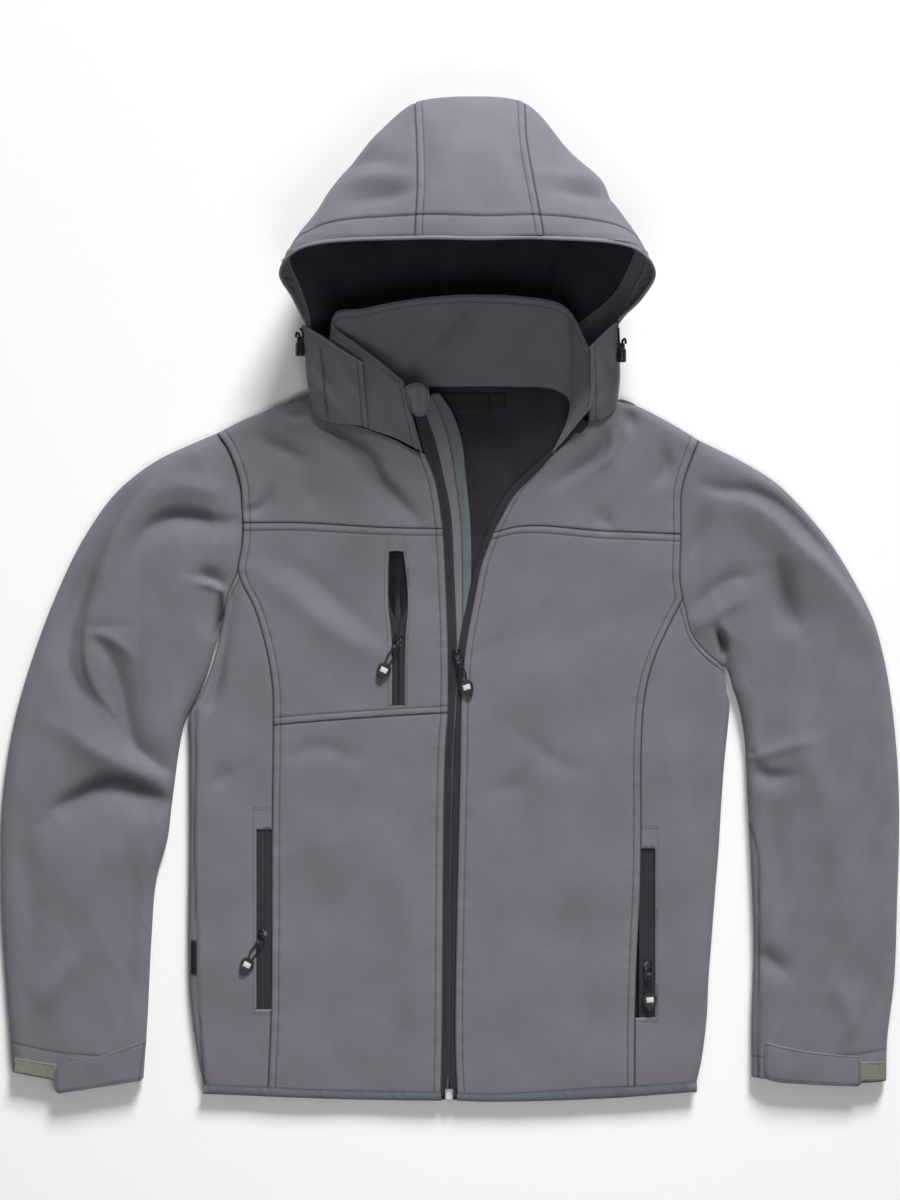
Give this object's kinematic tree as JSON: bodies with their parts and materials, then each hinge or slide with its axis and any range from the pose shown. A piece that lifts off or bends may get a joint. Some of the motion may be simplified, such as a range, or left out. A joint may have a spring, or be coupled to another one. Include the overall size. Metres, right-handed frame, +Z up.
{
  "type": "hooded softshell jacket",
  "caption": "Hooded softshell jacket laid flat on its back: zip front open at the collar, chest and hand pockets, cuff tabs, hood standing open.",
  "frame": {"origin": "on the surface under the middle of the back panel, on its flat outer face", "axes": "+Y towards the hood, +Z up away from the surface, +X to the wearer's left"},
  "size_m": [0.8999, 0.9978, 0.143],
  "materials": {
    "softshell": "matte",
    "binding": "matte",
    "zip_tape": "satin",
    "zip_slider": "gloss",
    "zip_pull": "satin",
    "label": "satin",
    "loop_patch": "matte",
    "cord_lock": "satin",
    "zip_box": "satin"
  },
  "bodies": {
    "jacket": {"front_yoke_right": "softshell", "chest_panel_right": "softshell", "front_lower_right": "softshell", "front_yoke_left": "softshell", "front_left": "softshell", "side_front_right": "softshell", "side_front_left": "softshell", "back_panel": "softshell", "sleeve_upper_right": "softshell", "sleeve_under_right": "softshell", "sleeve_upper_left": "softshell", "sleeve_under_left": "softshell", "cuff_tab_right": "softshell", "cuff_tab_left": "softshell", "collar": "softshell", "hood_side_right": "softshell", "hood_centre": "softshell", "hood_side_left": "softshell", "hood_neck_right": "softshell", "hood_neck_left": "softshell", "wind_flap": "softshell", "chin_guard": "softshell", "hem_binding_right": "binding", "hem_binding_left": "binding", "hem_binding_back": "binding", "hood_binding": "binding", "main_zip_tape_right": "zip_tape", "main_zip_tape_left": "zip_tape", "chest_zip_tapes": "zip_tape", "chest_pocket_bag": "zip_tape", "hand_zip_tapes_right": "zip_tape", "hand_zip_tapes_left": "zip_tape", "slider_main": "zip_slider", "slider_chest": "zip_slider", "slider_hand_right": "zip_slider", "slider_hand_left": "zip_slider", "neck_label": "label", "size_label": "label", "side_label": "label", "cuff_patch_right": "loop_patch", "cuff_patch_left": "loop_patch", "cord_lock_right": "cord_lock", "cord_lock_left": "cord_lock", "main_zip_box": "zip_box"},
    "pull_main": {"pull_main": "zip_pull"},
    "pull_chest": {"pull_chest": "zip_pull"},
    "pull_hand_right": {"pull_hand_right": "zip_pull"},
    "pull_hand_left": {"pull_hand_left": "zip_pull"}
  },
  "joints": [
    {"name": "pull_main_swing", "type": "hinge", "parent": "jacket", "child": "pull_main", "pos_m": [0.007, -0.055, 0.01425], "axis": [-0.9572, -0.2894, 0], "range_deg": [0, 150]},
    {"name": "pull_chest_swing", "type": "hinge", "parent": "jacket", "child": "pull_chest", "pos_m": [-0.051, -0.04, 0.01425], "axis": [-0.8944, 0.4472, 0], "range_deg": [0, 150]},
    {"name": "pull_hand_right_swing", "type": "hinge", "parent": "jacket", "child": "pull_hand_right", "pos_m": [-0.187, -0.335, 0.01425], "axis": [-0.8812, 0.4728, 0], "range_deg": [0, 150]},
    {"name": "pull_hand_left_swing", "type": "hinge", "parent": "jacket", "child": "pull_hand_left", "pos_m": [0.1975, -0.366, 0.01425], "axis": [-0.9977, -0.068, 0], "range_deg": [0, 150]}
  ]
}
